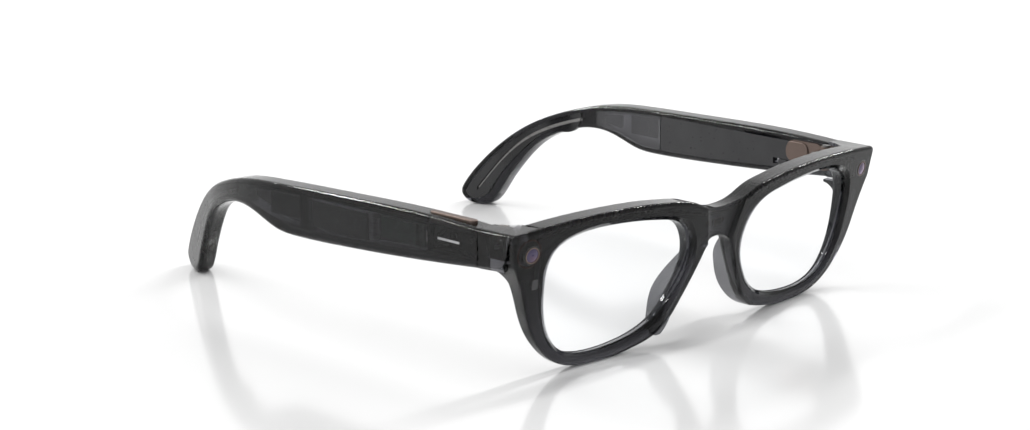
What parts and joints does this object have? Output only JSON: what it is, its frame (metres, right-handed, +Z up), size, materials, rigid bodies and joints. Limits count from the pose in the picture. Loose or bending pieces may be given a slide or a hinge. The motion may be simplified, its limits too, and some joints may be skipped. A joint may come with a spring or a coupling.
{
  "type": "smart glasses",
  "caption": "Spectacles with clear lenses, folding temples that hold electronics, camera and light windows at the front corners, a capture button and a power slider.",
  "frame": {"origin": "middle of the footprint of the whole object at the height of the surface it stands on, temples open", "axes": "+X to the wearer's left, -Y the way the wearer looks, +Y towards the temple tips, +Z up"},
  "size_m": [0.1494, 0.1559, 0.0405],
  "materials": {
    "frame_plastic": "polished, smoky black, slightly see-through",
    "end_plastic": "polished, smoky grey",
    "temple_plastic": "polished, smoky grey, slightly see-through",
    "cover_plastic": "fine satin",
    "clear_plastic": "clear grey",
    "tip_plastic": "polished",
    "pad_plastic": "clear grey",
    "lens": "clear, coated",
    "dark_glass": "coated, violet sheen",
    "black_bezel": "gloss",
    "module_black": "matt",
    "bronze": "satin, dark bronze",
    "steel": "satin",
    "gold": "plated",
    "flex": "satin black film",
    "battery_foil": "dull foil",
    "circuit_board": "satin lacquer",
    "antenna_carrier": "satin"
  },
  "bodies": {
    "front": {"front_frame": "frame_plastic", "end_piece_left": "end_plastic", "end_piece_right": "end_plastic", "lens_left": "lens", "lens_right": "lens", "nose_pad_left": "pad_plastic", "nose_pad_right": "pad_plastic", "front_hinge_leaf_left": "bronze", "front_hinge_leaf_right": "bronze", "hinge_pin_left": "steel", "hinge_pin_right": "steel", "front_hinge_screws": "steel", "front_flex_cable": "flex", "bridge_microphone": "steel", "charging_contacts": "gold", "light_sensor_window": "dark_glass", "camera_window_bezel": "black_bezel", "camera_window_ring": "bronze", "camera_window": "dark_glass", "camera_module": "module_black", "light_window_bezel": "black_bezel", "light_window_ring": "bronze", "light_window": "dark_glass", "light_module": "module_black"},
    "temple_left": {"temple_shell_left": "temple_plastic", "inner_cover_left": "cover_plastic", "window_panel_left": "clear_plastic", "tip_insert_left": "tip_plastic", "tip_core_left": "steel", "temple_hinge_leaf_left": "bronze", "temple_hinge_screws_left": "steel", "hinge_cap_left": "bronze", "battery_left": "battery_foil", "main_board_left": "circuit_board", "speaker_left": "module_black", "antenna_left": "antenna_carrier", "temple_microphone_left": "steel"},
    "temple_right": {"temple_shell_right": "temple_plastic", "inner_cover_right": "cover_plastic", "window_panel_right": "clear_plastic", "tip_insert_right": "tip_plastic", "tip_core_right": "steel", "temple_hinge_leaf_right": "bronze", "temple_hinge_screws_right": "steel", "hinge_cap_right": "bronze", "battery_right": "battery_foil", "main_board_right": "circuit_board", "speaker_right": "module_black", "antenna_right": "antenna_carrier", "temple_microphone_right": "steel", "touch_pad": "flex", "capture_switch": "steel"},
    "capture_button": {"capture_button": "bronze"},
    "power_switch": {"power_switch": "cover_plastic"}
  },
  "joints": [
    {"name": "temple_left_fold", "type": "hinge", "parent": "front", "child": "temple_left", "pos_m": [0.065, -0.06049, 0.034], "axis": [0, 0, 1], "range_deg": [0, 86]},
    {"name": "temple_right_fold", "type": "hinge", "parent": "front", "child": "temple_right", "pos_m": [-0.065, -0.06049, 0.034], "axis": [0, 0, -1], "range_deg": [0, 59]},
    {"name": "capture_press", "type": "slide", "parent": "temple_right", "child": "capture_button", "axis": [0, 0, -1], "range_m": [0, 0.0004], "stiffness_N_per_m": 1500},
    {"name": "power_slide", "type": "slide", "parent": "temple_left", "child": "power_switch", "axis": [0, 1, 0], "range_m": [0, 0.002]}
  ]
}
